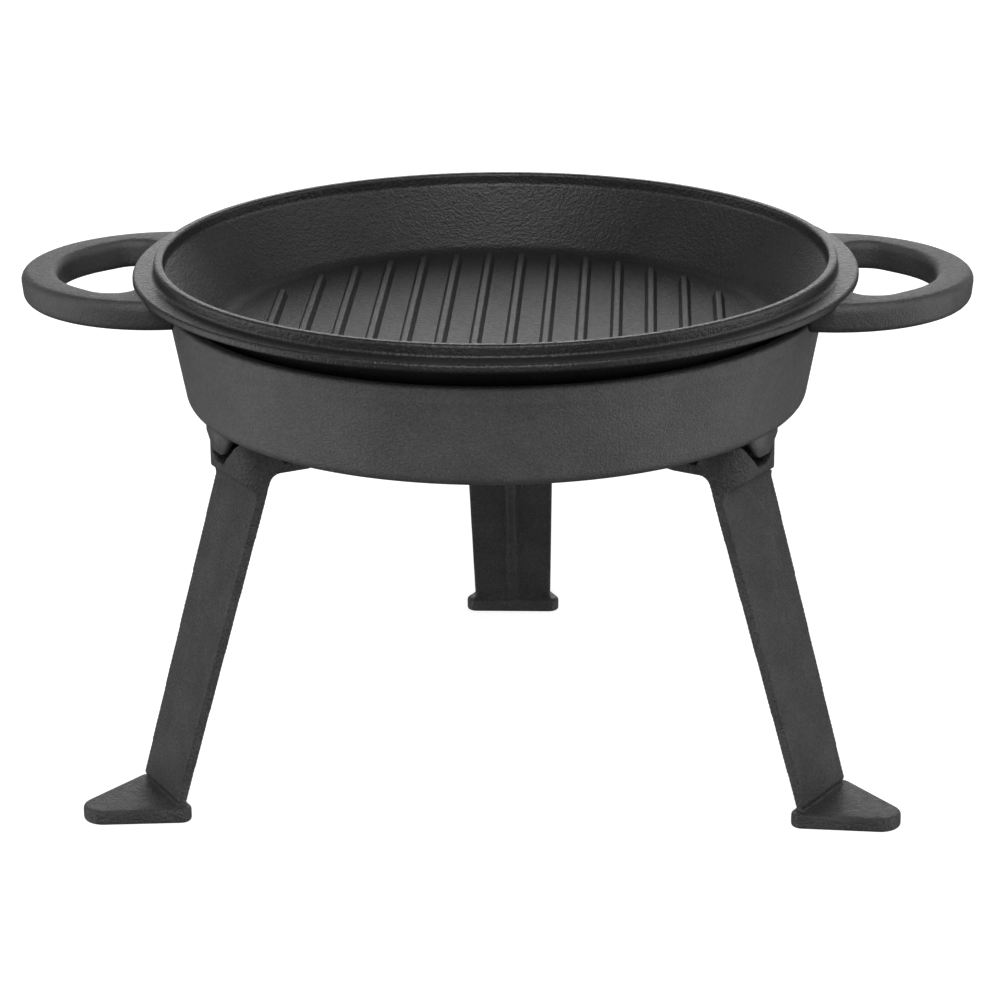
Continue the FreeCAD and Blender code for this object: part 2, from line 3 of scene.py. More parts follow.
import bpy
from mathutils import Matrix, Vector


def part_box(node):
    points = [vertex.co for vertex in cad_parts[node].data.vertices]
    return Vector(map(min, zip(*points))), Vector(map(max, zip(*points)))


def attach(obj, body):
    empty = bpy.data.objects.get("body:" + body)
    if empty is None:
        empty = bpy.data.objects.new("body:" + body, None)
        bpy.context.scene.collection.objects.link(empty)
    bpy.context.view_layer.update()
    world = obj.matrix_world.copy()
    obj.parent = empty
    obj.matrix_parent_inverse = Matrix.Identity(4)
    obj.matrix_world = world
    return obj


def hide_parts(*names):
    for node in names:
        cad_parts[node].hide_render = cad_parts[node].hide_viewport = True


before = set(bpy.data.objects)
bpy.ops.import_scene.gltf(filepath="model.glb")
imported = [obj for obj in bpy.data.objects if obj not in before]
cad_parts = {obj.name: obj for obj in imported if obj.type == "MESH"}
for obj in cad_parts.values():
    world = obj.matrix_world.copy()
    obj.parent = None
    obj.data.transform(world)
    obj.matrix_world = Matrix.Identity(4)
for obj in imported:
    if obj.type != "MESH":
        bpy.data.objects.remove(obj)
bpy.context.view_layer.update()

import logging
import math
from dataclasses import dataclass, field
from enum import Enum

import bmesh
import bpy
import numpy as np
from mathutils import Matrix, Vector

log = logging.getLogger("fire_bowl")

Point = tuple[float, float]
Corner = tuple[float, float, float]

MM = 0.001
WELD = 0.004 * MM


class Body(Enum):
    """The two bodies that the pieces ride on."""

    FIRE_BOWL = "fire_bowl"
    GRILL_PAN = "grill_pan"


class Slot(Enum):
    """Slots of the part's record that the pieces take their finish from."""

    BOWL = "bowl_iron"
    PAN = "pan_iron"
    LEG = "leg_iron"


# --------------------------------------------------------------------------------------
# Finishes
# --------------------------------------------------------------------------------------


@dataclass(frozen=True)
class CastIron:
    """Painted or seasoned sand-cast iron: fine grain over slow patches of tone.

    Sizes are in metres; depths are bump distances.
    """

    name: str
    tint: tuple[float, float, float]
    patch_tint: tuple[float, float, float]
    roughness: float
    roughness_spread: float
    grain: float
    grain_depth: float
    pebble: float
    pebble_depth: float
    patch: float
    speck_gain: float = 0.25
    specular: float = 0.5

    def build(self) -> bpy.types.Material:
        """Makes the node material.

        Returns:
            The material, reading object coordinates only.
        """
        material = bpy.data.materials.new(self.name)
        material.use_nodes = True
        net = Net(material.node_tree)
        net.tree.nodes.clear()
        output = net.add("ShaderNodeOutputMaterial")
        shader = net.add("ShaderNodeBsdfPrincipled")
        place = net.add("ShaderNodeTexCoord").outputs["Object"]
        fine = net.noise(place, 1.0 / self.grain, 3.0, 0.62)
        pebbles = net.noise(place, 1.0 / self.pebble, 2.0, 0.5)
        patches = net.noise(place, 1.0 / self.patch, 4.0, 0.55)

        tone = net.mix_colour(net.spread(patches, 0.35, 0.65), self.tint, self.patch_tint)
        specks = net.spread(fine, 0.30, 0.72, 1.0 - self.speck_gain, 1.0 + self.speck_gain)
        colour = net.add("ShaderNodeVectorMath", operation="SCALE")
        net.link(tone, colour.inputs[0])
        net.link(specks, colour.inputs["Scale"])
        net.link(colour.outputs["Vector"], shader.inputs["Base Color"])

        rough = net.spread(
            pebbles, 0.3, 0.7,
            self.roughness - self.roughness_spread, self.roughness + self.roughness_spread)
        net.link(rough, shader.inputs["Roughness"])
        bump = net.bump(fine, self.grain_depth, None)
        bump = net.bump(pebbles, self.pebble_depth, bump)
        net.link(bump, shader.inputs["Normal"])
        shader.inputs["Specular IOR Level"].default_value = self.specular
        net.link(shader.outputs["BSDF"], output.inputs["Surface"])
        return material


@dataclass(frozen=True)
class BlackenedSteel:
    """Turned screws and washers with a dark oxide on bright steel."""

    name: str
    tint: tuple[float, float, float] = (0.075, 0.075, 0.08)
    worn_tint: tuple[float, float, float] = (0.17, 0.17, 0.175)
    roughness: float = 0.38
    turning: float = 0.0004
    turning_depth: float = 0.02 * MM
    wear: float = 0.004

    def build(self) -> bpy.types.Material:
        """Makes the node material.

        Returns:
            The material, reading object coordinates only.
        """
        material = bpy.data.materials.new(self.name)
        material.use_nodes = True
        net = Net(material.node_tree)
        net.tree.nodes.clear()
        output = net.add("ShaderNodeOutputMaterial")
        shader = net.add("ShaderNodeBsdfPrincipled")
        place = net.add("ShaderNodeTexCoord").outputs["Object"]
        wear = net.noise(place, 1.0 / self.wear, 4.0, 0.6)
        lines = net.noise(place, 1.0 / self.turning, 1.0, 0.5)
        tone = net.mix_colour(net.spread(wear, 0.45, 0.75), self.tint, self.worn_tint)
        net.link(tone, shader.inputs["Base Color"])
        net.link(
            net.spread(wear, 0.3, 0.7, self.roughness - 0.08, self.roughness + 0.1),
            shader.inputs["Roughness"])
        net.link(net.bump(lines, self.turning_depth, None), shader.inputs["Normal"])
        shader.inputs["Metallic"].default_value = 0.9
        net.link(shader.outputs["BSDF"], output.inputs["Surface"])
        return material


@dataclass(frozen=True)
class StudioFloor:
    """Pale matt floor with the faintest unevenness, lit a little from within."""

    name: str = "studio_floor"
    tint: tuple[float, float, float] = (0.55, 0.55, 0.55)
    shade: tuple[float, float, float] = (0.53, 0.53, 0.53)
    glow: float = 0.86
    patch: float = 0.4

    def build(self) -> bpy.types.Material:
        """Makes the node material.

        Returns:
            The material, reading object coordinates only.
        """
        material = bpy.data.materials.new(self.name)
        material.use_nodes = True
        net = Net(material.node_tree)
        shader = net.tree.nodes["Principled BSDF"]
        place = net.add("ShaderNodeTexCoord").outputs["Object"]
        patches = net.noise(place, 1.0 / self.patch, 2.0, 0.5)
        net.link(net.mix_colour(patches, self.tint, self.shade), shader.inputs["Base Color"])
        shader.inputs["Roughness"].default_value = 0.9
        shader.inputs["Specular IOR Level"].default_value = 0.1
        shader.inputs["Emission Color"].default_value = (1.0, 1.0, 1.0, 1.0)
        shader.inputs["Emission Strength"].default_value = self.glow
        return material


# --------------------------------------------------------------------------------------
# Node trees
# --------------------------------------------------------------------------------------


class Net:
    """A node tree, shader or geometry, with short ways to add and link nodes."""

    def __init__(self, tree: bpy.types.NodeTree) -> None:
        """Keeps the tree that the nodes go into."""
        self.tree = tree

    def add(self, kind: str, **settings: object) -> bpy.types.Node:
        """Adds a node.

        Args:
            kind: The node's type name.
            settings: Properties set on the new node.

        Returns:
            The node.
        """
        node = self.tree.nodes.new(kind)
        for name, value in settings.items():
            setattr(node, name, value)
        return node

    def link(self, source: bpy.types.NodeSocket, target: bpy.types.NodeSocket) -> None:
        """Links an output socket to an input socket."""
        self.tree.links.new(source, target)

    def feed(self, node: bpy.types.Node, name: str, value: object) -> None:
        """Sets or links one input of a node.

        Args:
            node: The node.
            name: The input's name.
            value: A socket to link, or a plain value.
        """
        socket = next(s for s in node.inputs if s.name == name and s.enabled)
        if isinstance(value, bpy.types.NodeSocket):
            self.link(value, socket)
        else:
            socket.default_value = value

    def maths(self, operation: str, first: object, second: object = 0.0) -> bpy.types.NodeSocket:
        """Adds one sum.

        Args:
            operation: Name of the operation.
            first: First term, a socket or a number.
            second: Second term, a socket or a number.

        Returns:
            The sum's result.
        """
        node = self.add("ShaderNodeMath", operation=operation)
        for socket, value in zip(node.inputs, (first, second)):
            if isinstance(value, bpy.types.NodeSocket):
                self.link(value, socket)
            else:
                socket.default_value = value
        return node.outputs["Value"]

    def noise(
        self, place: bpy.types.NodeSocket, scale: float, detail: float, rough: float
    ) -> bpy.types.NodeSocket:
        """Adds a noise texture.

        Args:
            place: Where the noise is read.
            scale: Cells per metre.
            detail: Octaves.
            rough: Weight of the finer octaves.

        Returns:
            The noise's value, about 0 to 1.
        """
        node = self.add("ShaderNodeTexNoise")
        self.link(place, node.inputs["Vector"])
        node.inputs["Scale"].default_value = scale
        node.inputs["Detail"].default_value = detail
        node.inputs["Roughness"].default_value = rough
        return node.outputs["Fac"]

    def spread(
        self, value: bpy.types.NodeSocket, low: float, high: float,
        out_low: float = 0.0, out_high: float = 1.0,
    ) -> bpy.types.NodeSocket:
        """Maps a range of a value onto another range, clamped.

        Args:
            value: The value.
            low: Input that gives out_low.
            high: Input that gives out_high.
            out_low: Lowest result.
            out_high: Highest result.

        Returns:
            The mapped value.
        """
        node = self.add("ShaderNodeMapRange")
        self.link(value, node.inputs["Value"])
        node.inputs["From Min"].default_value = low
        node.inputs["From Max"].default_value = high
        node.inputs["To Min"].default_value = out_low
        node.inputs["To Max"].default_value = out_high
        return node.outputs["Result"]

    def mix_colour(
        self, share: bpy.types.NodeSocket, first: tuple[float, float, float],
        second: tuple[float, float, float],
    ) -> bpy.types.NodeSocket:
        """Mixes two colours.

        Args:
            share: Share of the second colour.
            first: First colour.
            second: Second colour.

        Returns:
            The mixed colour.
        """
        node = self.add("ShaderNodeMix", data_type="RGBA")
        self.link(share, node.inputs["Factor"])
        colours = [s for s in node.inputs if s.type == "RGBA"]
        colours[0].default_value = (*first, 1.0)
        colours[1].default_value = (*second, 1.0)
        return next(s for s in node.outputs if s.type == "RGBA")

    def bump(
        self, height: bpy.types.NodeSocket, distance: float,
        normal: bpy.types.NodeSocket | None,
    ) -> bpy.types.NodeSocket:
        """Adds a bump over an earlier normal.

        Args:
            height: Height of the surface, 0 to 1.
            distance: Depth in metres that a height of 1 stands for.
            normal: The normal to start from, if any.

        Returns:
            The new normal.
        """
        node = self.add("ShaderNodeBump")
        self.link(height, node.inputs["Height"])
        node.inputs["Strength"].default_value = 1.0
        node.inputs["Distance"].default_value = distance
        if normal is not None:
            self.link(normal, node.inputs["Normal"])
        return node.outputs["Normal"]


class Recipe:
    """A Geometry Nodes tree with named inputs, and the means to run it on a mesh."""

    KINDS = {
        float: "NodeSocketFloat",
        int: "NodeSocketInt",
        bpy.types.Material: "NodeSocketMaterial",
    }

    def __init__(self, name: str, inputs: dict[str, type]) -> None:
        """Makes an empty tree.

        Args:
            name: The tree's name.
            inputs: Type of each named input, besides the geometry.
        """
        tree = bpy.data.node_groups.new(name, "GeometryNodeTree")
        tree.interface.new_socket("Geometry", in_out="INPUT", socket_type="NodeSocketGeometry")
        tree.interface.new_socket("Geometry", in_out="OUTPUT", socket_type="NodeSocketGeometry")
        self.sockets = {
            label: tree.interface.new_socket(label, in_out="INPUT", socket_type=self.KINDS[kind])
            for label, kind in inputs.items()}
        self.net = Net(tree)
        self.source = self.net.add("NodeGroupInput")
        self.result = self.net.add("NodeGroupOutput")

    def given(self, name: str) -> bpy.types.NodeSocket:
        """Returns the tree's input of that name, to link from."""
        return self.source.outputs[name]

    def math(self, operation: str, first: object, second: object = 0.0) -> bpy.types.NodeSocket:
        """Adds one sum to the tree, as Net.maths does."""
        return self.net.maths(operation, first, second)

    def vector(self, x: object = 0.0, y: object = 0.0, z: object = 0.0) -> bpy.types.NodeSocket:
        """Joins three numbers or sockets into a vector."""
        node = self.net.add("ShaderNodeCombineXYZ")
        for name, value in (("X", x), ("Y", y), ("Z", z)):
            self.net.feed(node, name, value)
        return node.outputs["Vector"]

    def finish(self, geometry: bpy.types.NodeSocket) -> None:
        """Ends the tree: real meshes, smooth shading, one material.

        Args:
            geometry: The tree's finished geometry.
        """
        real = self.net.add("GeometryNodeRealizeInstances")
        self.net.link(geometry, real.inputs["Geometry"])
        smooth = self.net.add("GeometryNodeSetShadeSmooth")
        self.net.link(real.outputs["Geometry"], smooth.inputs["Geometry"])
        coat = self.net.add("GeometryNodeSetMaterial")
        self.net.link(smooth.outputs["Geometry"], coat.inputs["Geometry"])
        self.net.link(self.given("Material"), coat.inputs["Material"])
        self.net.link(coat.outputs["Geometry"], self.result.inputs["Geometry"])

    def run(self, name: str, mesh: bpy.types.Mesh, values: dict[str, object]) -> bpy.types.Mesh:
        """Runs the tree on a mesh.

        Args:
            name: Name of the new mesh.
            mesh: The geometry that goes in.
            values: A value for each named input.

        Returns:
            The plain mesh that comes out.
        """
        holder = bpy.data.objects.new(name + "_holder", mesh)
        bpy.context.scene.collection.objects.link(holder)
        modifier = holder.modifiers.new("recipe", "NODES")
        modifier.node_group = self.net.tree
        for label, value in values.items():
            modifier[self.sockets[label].identifier] = value
        graph = bpy.context.evaluated_depsgraph_get()
        made = bpy.data.meshes.new_from_object(holder.evaluated_get(graph), depsgraph=graph)
        made.name = name
        holder.modifiers.remove(modifier)
        bpy.data.objects.remove(holder)
        return made


def upright_section(recipe: Recipe) -> bpy.types.Node:
    """Turns the tree's input into a profile curve.

    Along a level path a profile's Y runs downwards, so the section is mirrored first.

    Args:
        recipe: The tree.

    Returns:
        The node whose output is the profile.
    """
    mirror = recipe.net.add("GeometryNodeTransform")
    recipe.net.link(recipe.given("Geometry"), mirror.inputs["Geometry"])
    recipe.net.feed(mirror, "Scale", (1.0, -1.0, 1.0))
    section = recipe.net.add("GeometryNodeMeshToCurve")
    recipe.net.link(mirror.outputs["Geometry"], section.inputs["Mesh"])
    return section


def turning_recipe() -> Recipe:
    """Turns a section about the upright axis.

    The section is an open line of edges in the XY plane: X is the distance from the
    path, whose radius is an input, and Y the height.
    """
    recipe = Recipe("turning", {"Steps": int, "Radius": float, "Material": bpy.types.Material})
    net = recipe.net
    section = upright_section(recipe)
    path = net.add("GeometryNodeCurvePrimitiveCircle")
    net.feed(path, "Resolution", recipe.given("Steps"))
    net.feed(path, "Radius", recipe.given("Radius"))
    sweep = net.add("GeometryNodeCurveToMesh")
    net.link(path.outputs["Curve"], sweep.inputs["Curve"])
    net.link(section.outputs["Curve"], sweep.inputs["Profile Curve"])
    weld = net.add("GeometryNodeMergeByDistance")
    net.link(sweep.outputs["Mesh"], weld.inputs["Geometry"])
    net.feed(weld, "Distance", WELD)
    recipe.finish(weld.outputs["Geometry"])
    return recipe


def rib_recipe() -> Recipe:
    """Lays ribs of one section side by side, each ended by a circle."""
    recipe = Recipe("rib_row", {
        "Count": int, "Pitch": float, "Field Radius": float, "Level": float,
        "Taper": float, "Steps": int, "Material": bpy.types.Material})
    net = recipe.net
    last = recipe.math("SUBTRACT", recipe.given("Count"), 1.0)
    first_x = recipe.math("MULTIPLY", recipe.math("MULTIPLY", last, recipe.given("Pitch")), -0.5)
    row = net.add("GeometryNodeMeshLine", mode="OFFSET")
    net.feed(row, "Count", recipe.given("Count"))
    net.feed(row, "Start Location", recipe.vector(first_x, 0.0, recipe.given("Level")))
    net.feed(row, "Offset", recipe.vector(recipe.given("Pitch")))

    place = net.add("GeometryNodeInputPosition")
    apart = net.add("ShaderNodeSeparateXYZ")
    net.link(place.outputs["Position"], apart.inputs["Vector"])
    across = recipe.math("MULTIPLY", apart.outputs["X"], apart.outputs["X"])
    field_square = recipe.math(
        "MULTIPLY", recipe.given("Field Radius"), recipe.given("Field Radius"))
    reach = recipe.math("SQRT", recipe.math("SUBTRACT", field_square, across))

    run = net.add("GeometryNodeCurvePrimitiveLine", mode="POINTS")
    net.feed(run, "Start", (0.0, -1.0, 0.0))
    net.feed(run, "End", (0.0, 1.0, 0.0))
    ribs = net.add("GeometryNodeInstanceOnPoints")
    net.link(row.outputs["Mesh"], ribs.inputs["Points"])
    net.link(run.outputs["Curve"], ribs.inputs["Instance"])
    net.feed(ribs, "Scale", recipe.vector(1.0, reach, 1.0))
    real = net.add("GeometryNodeRealizeInstances")
    net.link(ribs.outputs["Instances"], real.inputs["Geometry"])
    fine = net.add("GeometryNodeResampleCurve")
    net.link(real.outputs["Geometry"], fine.inputs["Curve"])
    net.feed(fine, "Count", recipe.given("Steps"))

    # The section shrinks over the last stretch before each end.
    along = net.add("GeometryNodeSplineParameter")
    length = net.add("GeometryNodeSplineLength")
    left = recipe.math("SUBTRACT", length.outputs["Length"], along.outputs["Length"])
    nearest = recipe.math("MINIMUM", along.outputs["Length"], left)
    to_end = recipe.math("DIVIDE", nearest, recipe.given("Taper"))
    short = recipe.math("SUBTRACT", 1.0, recipe.math("MINIMUM", to_end, 1.0))
    swell = recipe.math("SQRT", recipe.math("SUBTRACT", 1.0, recipe.math("MULTIPLY", short, short)))
    sized = net.add("GeometryNodeSetCurveRadius")
    net.link(fine.outputs["Curve"], sized.inputs["Curve"])
    net.feed(sized, "Radius", recipe.math("MAXIMUM", swell, 0.02))
    upright = net.add("GeometryNodeSetCurveNormal", mode="Z_UP")
    net.link(sized.outputs["Curve"], upright.inputs["Curve"])

    section = upright_section(recipe)
    sweep = net.add("GeometryNodeCurveToMesh")
    net.link(upright.outputs["Curve"], sweep.inputs["Curve"])
    net.link(section.outputs["Curve"], sweep.inputs["Profile Curve"])
    net.feed(sweep, "Fill Caps", True)
    recipe.finish(sweep.outputs["Mesh"])
    return recipe


def ring_recipe() -> Recipe:
    """Repeats a mesh round the upright axis."""
    recipe = Recipe("ring", {"Count": int, "Material": bpy.types.Material})
    net = recipe.net
    spots = net.add("GeometryNodeMeshLine", mode="OFFSET")
    net.feed(spots, "Count", recipe.given("Count"))
    net.feed(spots, "Offset", (0.0, 0.0, 0.0))
    index = net.add("GeometryNodeInputIndex")
    step = recipe.math("DIVIDE", 2.0 * math.pi, recipe.given("Count"))
    turn = recipe.math("MULTIPLY", index.outputs["Index"], step)
    copies = net.add("GeometryNodeInstanceOnPoints")
    net.link(spots.outputs["Mesh"], copies.inputs["Points"])
    net.link(recipe.given("Geometry"), copies.inputs["Instance"])
    net.feed(copies, "Rotation", recipe.vector(0.0, 0.0, turn))
    recipe.finish(copies.outputs["Instances"])
    return recipe


# --------------------------------------------------------------------------------------
# Outlines and meshes
# --------------------------------------------------------------------------------------


def rounded(corners: list[Corner], closed: bool = False, steps: int = 8) -> list[Point]:
    """Rounds the corners of an outline.

    Args:
        corners: Corners as (x, y, radius).
        closed: Whether the last corner joins the first.
        steps: Spans of each arc.

    Returns:
        The outline's points, without a repeated last point.
    """
    count = len(corners)
    points: list[Point] = []
    for index, (x, y, radius) in enumerate(corners):
        at_end = not closed and index in (0, count - 1)
        if radius <= 0.0 or at_end:
            points.append((x, y))
            continue
        here = Vector((x, y))
        before = (Vector(corners[index - 1][:2]) - here).normalized()
        after = (Vector(corners[(index + 1) % count][:2]) - here).normalized()
        half = before.angle(after) / 2.0
        cut = radius / math.tan(half)
        center = here + (before + after).normalized() * (radius / math.sin(half))
        first = here + before * cut - center
        turn = first.angle_signed(here + after * cut - center)
        for step in range(steps + 1):
            angle = -turn * step / steps
            spoke = Matrix.Rotation(angle, 2) @ first
            points.append((center.x + spoke.x, center.y + spoke.y))
    return points


def spoke_length(outline: list[Point], center: Vector, angle: float) -> float:
    """Distance from a point inside a closed outline to the outline.

    Args:
        outline: The outline's points.
        center: The point inside.
        angle: Direction to look in.

    Returns:
        The distance along that direction.
    """
    starts = np.array(outline) - np.array(center)
    spans = np.roll(starts, -1, axis=0) - starts
    ray = np.array((math.cos(angle), math.sin(angle)))
    lean = ray[0] * spans[:, 1] - ray[1] * spans[:, 0]
    lean = np.where(np.abs(lean) < 1e-15, 1e-15, lean)
    along = (starts[:, 0] * spans[:, 1] - starts[:, 1] * spans[:, 0]) / lean
    share = (starts[:, 0] * ray[1] - starts[:, 1] * ray[0]) / lean
    hits = along[(along > 0.0) & (share >= -1e-9) & (share <= 1.0 + 1e-9)]
    return float(hits.min())


def line_mesh(name: str, points: list[Point], closed: bool = False) -> bpy.types.Mesh:
    """Makes a mesh of edges only.

    Args:
        name: The mesh's name.
        points: Points in the XY plane.
        closed: Whether the last point joins the first.

    Returns:
        The mesh.
    """
    count = len(points)
    spans = [(i, (i + 1) % count) for i in range(count if closed else count - 1)]
    mesh = bpy.data.meshes.new(name)
    mesh.from_pydata([(x, y, 0.0) for x, y in points], spans, [])
    return mesh


def outward(mesh: bpy.types.Mesh) -> None:
    """Turns every face of a closed mesh outwards."""
    work = bmesh.new()
    work.from_mesh(mesh)
    bmesh.ops.recalc_face_normals(work, faces=work.faces)
    if work.calc_volume(signed=True) < 0.0:
        bmesh.ops.reverse_faces(work, faces=work.faces)
    work.to_mesh(mesh)
    work.free()


def block(
    outline: list[Point], low: float, high: float, edge_round: float, upright: Matrix
) -> bmesh.types.BMesh:
    """Extrudes a closed outline and rounds its edges.

    Args:
        outline: Points in the XY plane.
        low: Lower level.
        high: Upper level.
        edge_round: Width of the rounding.
        upright: Places the block in the part's frame.

    Returns:
        The block as a bmesh, which the caller frees.
    """
    work = bmesh.new()
    bottom = [work.verts.new((x, y, low)) for x, y in outline]
    top = [work.verts.new((x, y, high)) for x, y in outline]
    work.faces.new(list(reversed(bottom)))
    work.faces.new(top)
    count = len(outline)
    for index in range(count):
        after = (index + 1) % count
        work.faces.new((bottom[index], bottom[after], top[after], top[index]))
    rims = [edge for edge in work.edges if edge.calc_face_angle(0.0) > math.radians(30.0)]
    if edge_round > 0.0:
        bmesh.ops.bevel(
            work, geom=rims, offset=edge_round, segments=3, profile=0.5, affect="EDGES",
            clamp_overlap=True)
    bmesh.ops.recalc_face_normals(work, faces=work.faces)
    bmesh.ops.transform(work, matrix=upright, verts=work.verts)
    return work


def as_mesh(name: str, work: bmesh.types.BMesh) -> bpy.types.Mesh:
    """Turns a bmesh into a smooth-shaded mesh and frees it."""
    mesh = bpy.data.meshes.new(name)
    work.to_mesh(mesh)
    work.free()
    mesh.shade_smooth()
    return mesh


def place(name: str, mesh: bpy.types.Mesh, body: Body, slot: Slot) -> bpy.types.Object:
    """Puts a finished mesh in the scene as a piece of one body.

    Args:
        name: The piece's name.
        mesh: Its mesh, in the part's frame.
        body: The body it rides on.
        slot: The record's slot of its finish; not used.

    Returns:
        The piece.
    """
    piece = bpy.data.objects.new(name, mesh)
    bpy.context.scene.collection.objects.link(piece)
    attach(piece, body.value)
    log.info("%s: %d faces", name, len(mesh.polygons))
    return piece


# --------------------------------------------------------------------------------------
# Sub-assemblies
# --------------------------------------------------------------------------------------


@dataclass
class CastBowl:
    """Open bowl with a low rim band, three bosses and three teeth for the legs."""

    finish: bpy.types.Material
    draft: float = 6.8 * MM
    wall: float = 5.0 * MM
    floor: float = 5.0 * MM
    depth: float = 43.0 * MM
    band_height: float = 7.8 * MM
    band_step: float = 0.35 * MM
    band_blend: float = 1.6 * MM
    band_round: float = 4.0 * MM
    rim_round: float = 1.6 * MM
    base_corner: float = 6.0 * MM
    inner_corner: float = 12.0 * MM
    steps_round: int = 288
    boss_circle: float = 105.0 * MM
    boss_radius: float = 13.0 * MM
    bore_radius: float = 3.3 * MM
    bore_depth: float = 10.5 * MM
    bore_round: float = 0.4 * MM
    boss_round: float = 0.8 * MM
    boss_fillet: float = 2.5 * MM
    boss_cover: float = 1.0 * MM
    boss_steps: int = 64
    tooth_radius: float = 131.0 * MM
    tooth_thickness: float = 3.0 * MM
    tooth_width: float = 9.0 * MM
    tooth_flare: float = 6.5 * MM
    tooth_drop: float = 7.2 * MM
    tooth_round: float = 1.9 * MM
    tooth_root_round: float = 1.5 * MM
    tooth_edge_round: float = 0.8 * MM
    turning: Recipe = field(default_factory=turning_recipe)
    ring: Recipe = field(default_factory=ring_recipe)

    def __post_init__(self) -> None:
        """Takes the levels and the overall radius from the CAD node."""
        low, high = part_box("bowl")
        self.pad_level = low.z
        self.rim_level = high.z
        self.base_level = high.z - self.depth
        self.rim_radius = high.x
        self.base_radius = self.rim_radius - self.draft

    def section(self) -> list[Point]:
        """Section of the shell, from the axis under the floor to the axis above it."""
        base, rim = self.base_level, self.rim_level
        wall_inner = self.rim_radius - self.wall
        band = rim - self.band_height
        lower_skin = self.rim_radius - self.band_step
        corners = [
            (0.0, base, 0.0),
            (self.base_radius, base, self.base_corner),
            (lower_skin, band, self.band_round),
            (self.rim_radius, band + self.band_blend, self.band_round),
            (self.rim_radius, rim, self.rim_round),
            (wall_inner, rim, self.rim_round),
            (self.base_radius - self.wall, base + self.floor, self.inner_corner),
            (0.0, base + self.floor, 0.0),
        ]
        return rounded(corners)

    def shell(self) -> bpy.types.Mesh:
        """Turns the section into the shell's mesh."""
        path = self.rim_radius
        points = [(x - path, y) for x, y in self.section()]
        mesh = self.turning.run(
            "bowl_shell", line_mesh("bowl_section", points),
            {"Steps": self.steps_round, "Radius": path, "Material": self.finish})
        outward(mesh)
        return mesh

    def seats(self) -> bpy.types.Mesh:
        """Makes one boss and one tooth, and repeats them for the three legs."""
        half = self.tooth_width / 2.0
        wide = half + self.tooth_flare
        low = self.base_level - self.tooth_drop
        top = self.base_level + self.base_corner
        outline = rounded([
            (-half, low, self.tooth_round), (half, low, self.tooth_round),
            (wide, self.base_level, self.tooth_root_round), (wide, top, 0.0),
            (-wide, top, 0.0), (-wide, self.base_level, self.tooth_root_round)],
            closed=True, steps=5)
        # The outline's X runs across the leg and its Y upright; the block faces outwards.
        stand = Matrix(((0, 0, 1, 0), (1, 0, 0, 0), (0, 1, 0, 0), (0, 0, 0, 1)))
        tooth = block(
            outline, self.tooth_radius - self.tooth_thickness, self.tooth_radius,
            self.tooth_edge_round, stand)
        boss = self.boss()
        scrap = bpy.data.meshes.new("boss")
        boss.to_mesh(scrap)
        boss.free()
        tooth.from_mesh(scrap)
        bmesh.ops.rotate(
            tooth, verts=tooth.verts, cent=(0.0, 0.0, 0.0), matrix=Matrix.Rotation(math.pi / 2, 3, "Z"))
        return self.ring.run(
            "bowl_seats", as_mesh("one_seat", tooth), {"Count": 3, "Material": self.finish})

    def boss(self) -> bmesh.types.BMesh:
        """A round boss with a blind bore, standing on the leg's pad."""
        work = bmesh.new()
        fillet = self.boss_fillet
        section = rounded([
            (0.0, self.pad_level + self.bore_depth, 0.0),
            (self.bore_radius, self.pad_level + self.bore_depth, 0.0),
            (self.bore_radius, self.pad_level, self.bore_round),
            (self.boss_radius, self.pad_level, self.boss_round),
            (self.boss_radius, self.base_level, fillet),
            (self.boss_radius + fillet, self.base_level, 0.0),
            (self.boss_radius + fillet, self.base_level + self.floor / 2, 0.0),
            (0.0, self.base_level + self.floor / 2 + self.boss_cover, 0.0)], steps=6)
        steps = self.boss_steps
        rows = []
        for index in range(steps):
            angle = 2.0 * math.pi * index / steps
            rows.append([
                work.verts.new((
                    self.boss_circle + radius * math.cos(angle), radius * math.sin(angle), level))
                for radius, level in section])
        for index in range(steps):
            here, after = rows[index], rows[(index + 1) % steps]
            for step in range(len(section) - 1):
                work.faces.new((here[step], after[step], after[step + 1], here[step + 1]))
        bmesh.ops.remove_doubles(work, verts=work.verts, dist=WELD)
        bmesh.ops.recalc_face_normals(work, faces=work.faces)
        return work

    def build(self) -> None:
        """Makes the bowl's pieces and stands them for the CAD bowl."""
        shell = place("bowl_shell", self.shell(), Body.FIRE_BOWL, Slot.BOWL)
        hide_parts("bowl")
        place("bowl_seats", self.seats(), Body.FIRE_BOWL, Slot.BOWL)


